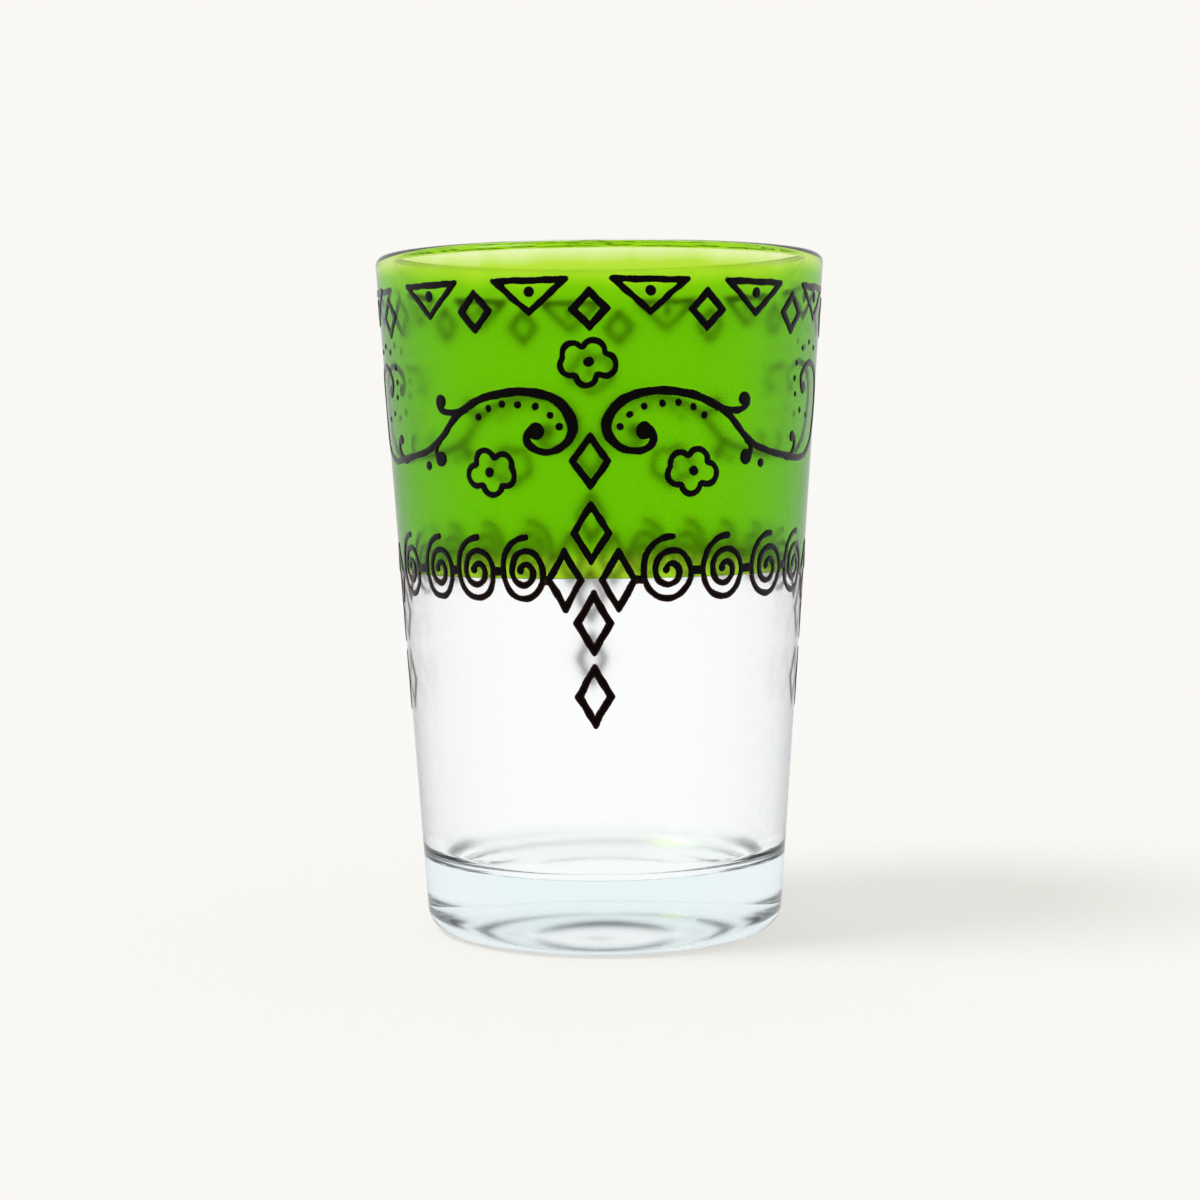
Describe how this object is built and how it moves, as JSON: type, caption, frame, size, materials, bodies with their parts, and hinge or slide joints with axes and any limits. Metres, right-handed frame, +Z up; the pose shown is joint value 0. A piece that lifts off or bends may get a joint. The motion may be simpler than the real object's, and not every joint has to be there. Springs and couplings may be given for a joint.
{
  "type": "moroccan tea glass",
  "caption": "Slightly tapered clear glass tumbler for mint tea, stained green on its upper half, with raised black enamel ornament.",
  "frame": {"origin": "centre of the foot, on the surface that the glass stands on", "axes": "+Z up along the axis of the glass; -Y towards the front ornament column; +X to its right"},
  "size_m": [0.0596, 0.0596, 0.09],
  "materials": {
    "clear_glass": "polished, clear",
    "green_glass": "glossy transparent stain",
    "black_enamel": "glossy fired enamel"
  },
  "bodies": {
    "root": {"glass_body": "clear_glass", "green_stain": "green_glass", "frieze_triangles": "black_enamel", "frieze_triangle_dots": "black_enamel", "frieze_diamonds": "black_enamel", "crown_flowers": "black_enamel", "side_flowers": "black_enamel", "flower_hearts": "black_enamel", "vine_front_right": "black_enamel", "vine_front_left": "black_enamel", "vine_back_right": "black_enamel", "vine_back_left": "black_enamel", "volute_dots": "black_enamel", "hook_dots": "black_enamel", "stem_dots": "black_enamel", "upper_diamonds": "black_enamel", "middle_diamonds": "black_enamel", "drop_diamonds": "black_enamel", "border_diamonds": "black_enamel", "spirals": "black_enamel", "spiral_links": "black_enamel"}
  },
  "joints": []
}
